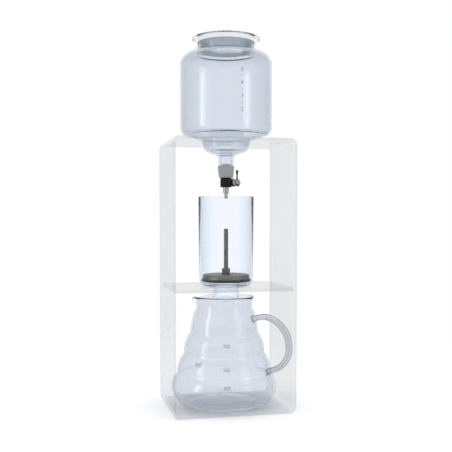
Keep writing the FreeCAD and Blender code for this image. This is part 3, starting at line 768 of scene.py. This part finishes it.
def printed(bm, words, outline, angle, middle, height, axisX=0.0):
    # Sets words on a turned surface, a hair off the glass
    letters = bpy.data.curves.new("letters", "FONT")
    letters.body = words
    letters.size = height * ink["scale"]
    letters.align_x = "CENTER"
    letters.align_y = "CENTER"
    letters.resolution_u = ink["smooth"]
    holder = bpy.data.objects.new("letters", letters)
    bpy.context.scene.collection.objects.link(holder)
    flat = bpy.data.meshes.new_from_object(holder.evaluated_get(bpy.context.evaluated_depsgraph_get()))
    bpy.data.objects.remove(holder)
    wrap(bm, flat, outline, angle, middle, axisX)


def wrap(bm, flat, outline, angle, middle, axisX=0.0):
    part = bmesh.new()
    part.from_mesh(flat)
    bmesh.ops.remove_doubles(part, verts=part.verts, dist=ink["join"])
    bmesh.ops.triangulate(part, faces=part.faces)
    body = bmesh.ops.extrude_face_region(part, geom=list(part.faces))
    lifted = {spot for spot in body["geom"] if isinstance(spot, bmesh.types.BMVert)}
    for spot in part.verts:
        z = middle + spot.co.y
        r = radiusAt(outline, z) + (ink["lifted"] if spot in lifted else ink["low"])
        turn = math.radians(angle) + spot.co.x / r
        spot.co = ((axisX + r * math.cos(turn)) * mm, r * math.sin(turn) * mm, z * mm)
    bmesh.ops.recalc_face_normals(part, faces=part.faces)
    ready = bpy.data.meshes.new("wrapped")
    part.to_mesh(ready)
    part.free()
    bm.from_mesh(ready)


def dotMesh(radius):
    bm = bmesh.new()
    bmesh.ops.create_circle(bm, cap_ends=True, segments=ink["dotSides"], radius=radius)
    mesh = bpy.data.meshes.new("dot")
    bm.to_mesh(mesh)
    bm.free()
    return mesh


def makeMarks():
    outline = jarOutline().points
    bm = bmesh.new()
    for number, word in enumerate(jarMarks["words"]):
        height = jarMarks["top"] - jarMarks["step"] * number
        printed(bm, word, outline, jarMarks["angle"], height, jarMarks["height"])
        if number:
            wrap(bm, dotMesh(jarMarks["dot"]), outline, jarMarks["angle"], height + jarMarks["step"] / 2)
    finishMarks(bm, "reservoir_marks", "reservoir")
    outline = serverOutline().points
    bm = bmesh.new()
    for words, angle, height, tall in serverMarks:
        printed(bm, words, outline, angle, height, tall, server["shift"])
    finishMarks(bm, "server_marks", "server")


def finishMarks(bm, name, body):
    mesh = bpy.data.meshes.new(name)
    bm.to_mesh(mesh)
    bm.free()
    settle(newPiece(name, mesh, "print"), body, [])


makeMarks()
print("marks printed")


# Studio

studio = {"floorRadius": 1.1, "daylight": 0.86, "azimuth": 13.03, "distance": 1109.3, "height": 272.2,
          "tilt": 2.79, "lens": 61.2, "sensor": 36, "shift": 0.0687, "aim": (0, 0, 0.3), "floorSides": 96,
          "floorDrop": -0.0004, "fadeFrom": 0.25, "fadeShare": 0.95, "paper": (0.82, 0.82, 0.82), "glow": 0.2}


def makeFloor():
    bm = bmesh.new()
    bmesh.ops.create_circle(bm, cap_ends=True, segments=studio["floorSides"], radius=studio["floorRadius"])
    mesh = bpy.data.meshes.new("floor")
    bm.to_mesh(mesh)
    bm.free()
    floor = bpy.data.objects.new("floor", mesh)
    bpy.context.scene.collection.objects.link(floor)
    floor.location.z = studio["floorDrop"]
    made = Finish("paper")
    away = made.node("VectorMath", {"operation": "LENGTH"}, output=1, Vector=made.node("TexCoord", output=3))
    fade = made.node("MapRange", {"interpolation_type": "SMOOTHSTEP"}, Value=away,
                     From_Min=studio["fadeFrom"], From_Max=studio["floorRadius"] * studio["fadeShare"])
    paper = made.node("BsdfDiffuse", Color=studio["paper"])
    glow = made.node("Emission", Color=(1, 1, 1), Strength=studio["glow"])
    sheet = made.node("AddShader", _0=paper, _1=glow)
    clear = made.node("BsdfTransparent")
    mesh.materials.append(made.finish(made.node("MixShader", _0=fade, _1=sheet, _2=clear)))


def makeWorld():
    world = bpy.data.worlds.new("studio")
    bpy.context.scene.world = world
    world.use_nodes = True
    tree = world.node_tree
    tree.nodes.clear()
    path = tree.nodes.new("ShaderNodeLightPath")
    seen = Link(tree, path.outputs["Is Camera Ray"]) + Link(tree, path.outputs["Is Glossy Ray"])
    seen = seen + Link(tree, path.outputs["Is Transmission Ray"])
    most = tree.nodes.new("ShaderNodeMath")
    most.operation = "MINIMUM"
    plug(tree, most.inputs[0], seen)
    most.inputs[1].default_value = 1
    light = studio["daylight"] + (1 - studio["daylight"]) * Link(tree, most.outputs[0])
    sky = tree.nodes.new("ShaderNodeBackground")
    sky.inputs["Color"].default_value = (1, 1, 1, 1)
    plug(tree, sky.inputs["Strength"], light)
    out = tree.nodes.new("ShaderNodeOutputWorld")
    tree.links.new(sky.outputs[0], out.inputs["Surface"])


lamps = {
    "leftStrip": {"spot": (-1.15, -0.35, 0.42), "size": (0.14, 0.8), "watts": 0.7},
    "leftGlow": {"spot": (-1.2, -0.38, 0.42), "size": (0.42, 1.0), "watts": 1.8},
    "rightGlow": {"spot": (0.76, -0.93, 0.42), "size": (0.5, 0.8), "watts": 0.9},
    "topPanel": {"spot": (0.0, -0.2, 1.3), "size": (0.7, 0.7), "watts": 3.5},
}


def makeLamps():
    aim = Vector(studio["aim"])
    for name, look in lamps.items():
        data = bpy.data.lights.new(name, "AREA")
        data.shape = "RECTANGLE"
        data.size, data.size_y = look["size"]
        data.energy = look["watts"]
        lamp = bpy.data.objects.new(name, data)
        bpy.context.scene.collection.objects.link(lamp)
        lamp.location = look["spot"]
        lamp.rotation_euler = (aim - lamp.location).to_track_quat("-Z", "Y").to_euler()


def makeCamera():
    data = bpy.data.cameras.new("camera")
    data.lens = studio["lens"]
    data.sensor_width = studio["sensor"]
    data.shift_y = studio["shift"]
    camera = bpy.data.objects.new("camera", data)
    bpy.context.scene.collection.objects.link(camera)
    turn = math.radians(studio["azimuth"])
    reach = studio["distance"] * mm
    camera.location = (-math.sin(turn) * reach, -math.cos(turn) * reach, studio["height"] * mm)
    camera.rotation_euler = (math.radians(90 - studio["tilt"]), 0, -turn)
    bpy.context.scene.camera = camera


makeFloor()
makeWorld()
makeLamps()
makeCamera()
bpy.context.scene.view_settings.view_transform = "Standard"
print("studio made")
